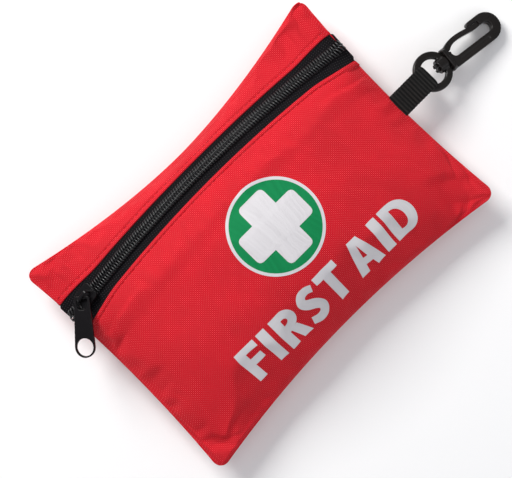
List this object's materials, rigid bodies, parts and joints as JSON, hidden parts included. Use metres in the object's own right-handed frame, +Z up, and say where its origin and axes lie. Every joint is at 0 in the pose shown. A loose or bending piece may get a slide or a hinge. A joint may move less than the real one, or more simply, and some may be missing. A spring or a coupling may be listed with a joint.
{
  "type": "first_aid_kit",
  "caption": "Small red zipped fabric first aid pouch with black webbing loop, swivel ring and plastic snap hook, stuffed with bandages, dressings, scissors and tweezers",
  "frame": {"origin": "middle of the flat patch of the back panel that the pouch rests on", "axes": "+X along the long side towards the snap hook, +Y towards the zip, +Z up through the front"},
  "size_m": [0.265, 0.1338, 0.0471],
  "materials": {
    "red_cloth": "red 600 denier oxford weave",
    "black_tape": "black twill zip tape",
    "black_coil": "black nylon coils",
    "black_slider": "black enamelled die casting",
    "black_webbing": "black ribbed polypropylene webbing",
    "hook_plastic": "black moulded acetal, satin",
    "gauze": "white cotton gauze",
    "crepe": "tan elastic crepe",
    "tape_white": "white adhesive tape",
    "card_core": "grey board core",
    "packet_paper": "white sterile packet paper",
    "packet_foil": "crinkled foil",
    "steel": "stamped stainless steel"
  },
  "bodies": {
    "pouch": {"back_panel": "red_cloth", "front_panel": "red_cloth", "front_upper_strip": "red_cloth", "zip_tape_lower": "black_tape", "zip_tape_upper": "black_tape", "zip_coil_lower": "black_coil", "zip_coil_upper": "black_coil", "zip_end_stops": "black_coil", "webbing_root": "black_webbing", "triangular_bandage": "packet_paper", "emergency_blanket": "packet_foil", "pad_packets": "packet_paper", "glove_packet": "packet_paper", "gauze_roll": "gauze", "elastic_bandage_roll": "crepe", "adhesive_tape_roll": "tape_white", "adhesive_tape_core": "card_core", "plaster_packets": "packet_paper", "wipe_sachets": "packet_foil", "tweezers": "steel", "safety_pins": "steel", "scissors_lower_blade": "steel", "scissors_rivet": "steel"},
    "slider": {"slider_body": "black_slider", "slider_bridge": "black_slider"},
    "pull_tab": {"pull_tab": "black_slider"},
    "webbing": {"webbing_loop": "black_webbing"},
    "ring": {"swivel_ring": "hook_plastic"},
    "hook": {"snap_hook": "hook_plastic"},
    "gate": {"hook_gate": "hook_plastic"},
    "scissors_blade": {"scissors_upper_blade": "steel"}
  },
  "joints": [
    {"name": "slider_travel", "type": "hinge", "parent": "pouch", "child": "slider", "pos_m": [0, -0.04944, -0.22999], "axis": [0, 0.9458, -0.3247], "range_deg": [0, 33.1]},
    {"name": "pull_tab_swing", "type": "hinge", "parent": "slider", "child": "pull_tab", "pos_m": [-0.0826, 0.03963, 0.02946], "axis": [-0.714, 0.6445, -0.2734], "range_deg": [-2, 110]},
    {"name": "webbing_flex", "type": "hinge", "parent": "pouch", "child": "webbing", "pos_m": [0.095, -0.004, 0.018], "axis": [0, -1, 0], "range_deg": [-10, 60]},
    {"name": "ring_swing", "type": "hinge", "parent": "webbing", "child": "ring", "pos_m": [0.1117, -0.00328, 0.01414], "axis": [-0.1187, -0.9925, 0.0274], "range_deg": [-12, 12]},
    {"name": "hook_swivel", "type": "hinge", "parent": "ring", "child": "hook", "pos_m": [0.12592, -0.00507, 0.01086], "axis": [0.9671, -0.1219, -0.2233], "continuous": true},
    {"name": "gate_flex", "type": "hinge", "parent": "hook", "child": "gate", "pos_m": [0.13044, -0.00091, 0.00982], "axis": [-0.225, 0, -0.9744], "range_deg": [0, 12], "stiffness_Nm_per_rad": 0.02, "springref_deg": -5.73},
    {"name": "scissors_pivot", "type": "hinge", "parent": "pouch", "child": "scissors_blade", "pos_m": [0.002, 0.01, 0.0139], "axis": [0, 0, -1], "range_deg": [0, 30]}
  ]
}
